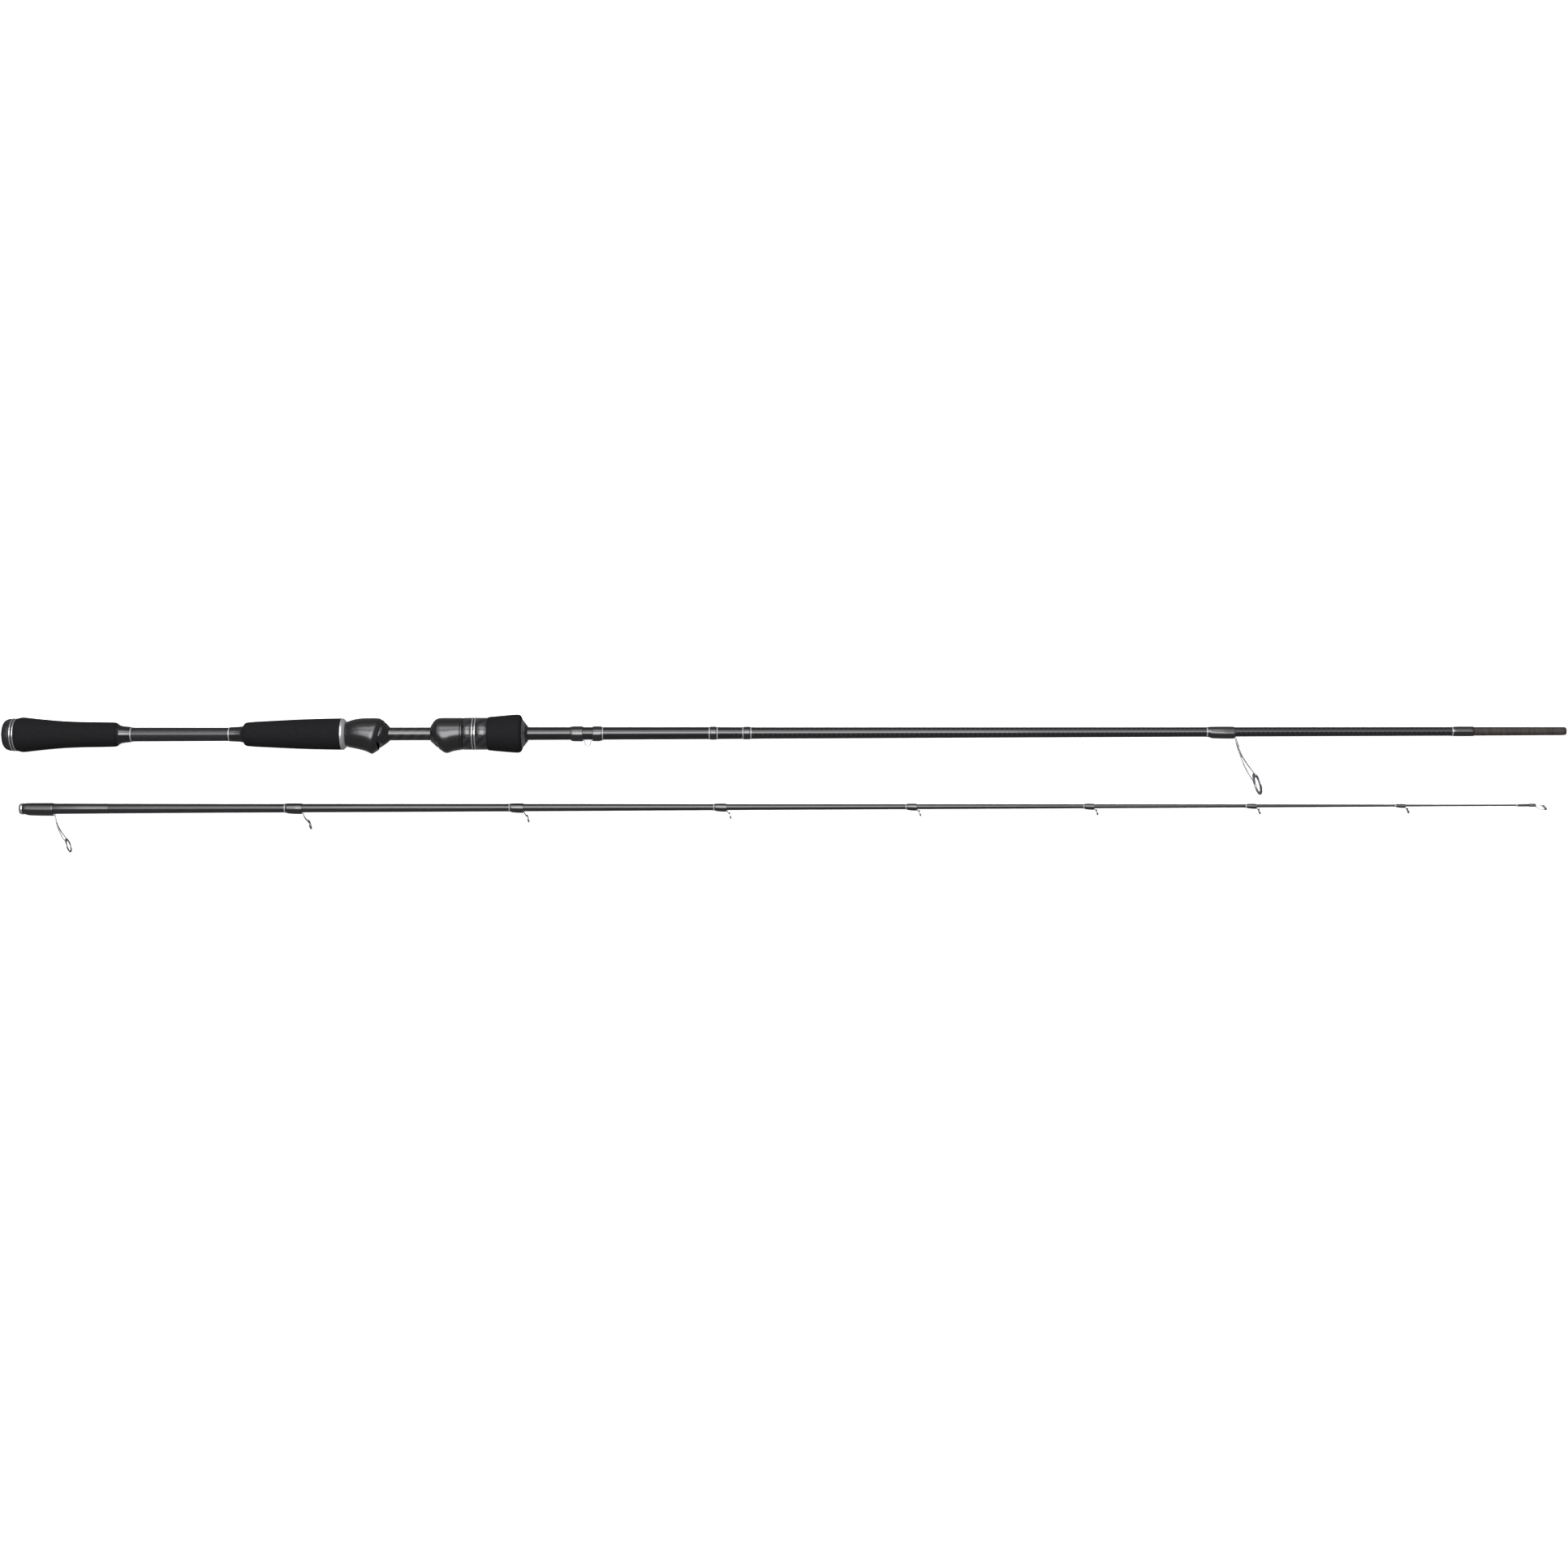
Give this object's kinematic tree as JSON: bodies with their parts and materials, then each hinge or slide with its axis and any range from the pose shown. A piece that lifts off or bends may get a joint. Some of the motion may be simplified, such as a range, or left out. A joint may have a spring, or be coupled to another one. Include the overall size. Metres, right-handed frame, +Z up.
{
  "type": "spinning rod",
  "caption": "Carbon spinning rod in two sections laid side by side, with split foam grips, a screw-down reel seat, single-foot line guides and a tip-top.",
  "frame": {"origin": "on the floor that the two sections lie on, under the middle of their bounding box", "axes": "+X along both sections from butt to tip, +Y from the tip section towards the butt section, so the guides point to -Y: level on the tip section, 18 degrees above level on the butt section. +Z up"},
  "size_m": [1.154, 0.1018, 0.0349],
  "materials": {
    "eva_foam": "matte",
    "end_cap_rubber": "satin",
    "carbon_blank": "gloss",
    "woven_carbon": "gloss",
    "graphite_resin": "satin",
    "aluminium_trim": "polished",
    "polished_steel": "polished",
    "dark_steel": "polished",
    "ceramic": "polished",
    "epoxy_wrap": "gloss",
    "gloss_black": "gloss"
  },
  "bodies": {
    "butt_section": {"butt_blank": "carbon_blank", "butt_cap": "end_cap_rubber", "butt_ring_rear": "aluminium_trim", "butt_ring_front": "aluminium_trim", "rear_grip": "eva_foam", "rear_grip_check": "gloss_black", "mid_grip_check": "gloss_black", "mid_grip": "eva_foam", "seat_collar": "aluminium_trim", "rear_hood": "graphite_resin", "thread_barrel": "gloss_black", "hook_keeper": "polished_steel", "keeper_wrap_rear": "epoxy_wrap", "keeper_wrap_front": "epoxy_wrap", "trim_band_rear": "epoxy_wrap", "trim_band_front": "epoxy_wrap", "guide_1_frame": "dark_steel", "guide_1_ring": "ceramic", "guide_1_wrap": "epoxy_wrap", "ferrule_wrap": "epoxy_wrap"},
    "moving_hood": {"moving_hood": "graphite_resin"},
    "lock_nut": {"nut_insert": "gloss_black", "nut_sleeve_rear": "woven_carbon", "nut_ring_rear": "aluminium_trim", "nut_ring_front": "aluminium_trim", "nut_sleeve_front": "woven_carbon", "fore_grip": "eva_foam", "nut_bevel_ring": "aluminium_trim", "nut_end_cone": "gloss_black"},
    "tip_section": {"female_ferrule": "carbon_blank", "tip_blank": "carbon_blank", "ferrule_end_ring": "aluminium_trim", "guide_2_frame": "dark_steel", "guide_2_ring": "ceramic", "guide_2_wrap": "epoxy_wrap", "guide_3_frame": "dark_steel", "guide_3_ring": "ceramic", "guide_3_wrap": "epoxy_wrap", "guide_4_frame": "dark_steel", "guide_4_ring": "ceramic", "guide_4_wrap": "epoxy_wrap", "guide_5_frame": "dark_steel", "guide_5_ring": "ceramic", "guide_5_wrap": "epoxy_wrap", "guide_6_frame": "dark_steel", "guide_6_ring": "ceramic", "guide_6_wrap": "epoxy_wrap", "guide_7_frame": "dark_steel", "guide_7_ring": "ceramic", "guide_7_wrap": "epoxy_wrap", "guide_8_frame": "dark_steel", "guide_8_ring": "ceramic", "guide_8_wrap": "epoxy_wrap", "guide_9_frame": "dark_steel", "guide_9_ring": "ceramic", "guide_9_wrap": "epoxy_wrap", "tip_top_frame": "polished_steel", "tip_top_ring": "ceramic", "tip_top_wrap": "epoxy_wrap"}
  },
  "joints": [
    {"name": "hood_slide", "type": "slide", "parent": "butt_section", "child": "moving_hood", "axis": [1, 0, 0], "range_m": [-0.006, 0.012]},
    {"name": "nut_spin", "type": "hinge", "parent": "moving_hood", "child": "lock_nut", "pos_m": [-0.217, 0.03672, 0.01414], "axis": [1, 0, 0], "range_deg": [-1440, 2880]},
    {"name": "tip_lift", "type": "slide", "parent": "butt_section", "child": "tip_section", "axis": [0, 0, 1], "range_m": [0, 0.1]}
  ],
  "couplings": [
    {"joint": "hood_slide", "follows": "nut_spin", "m_per_rad": 0.00023873}
  ]
}
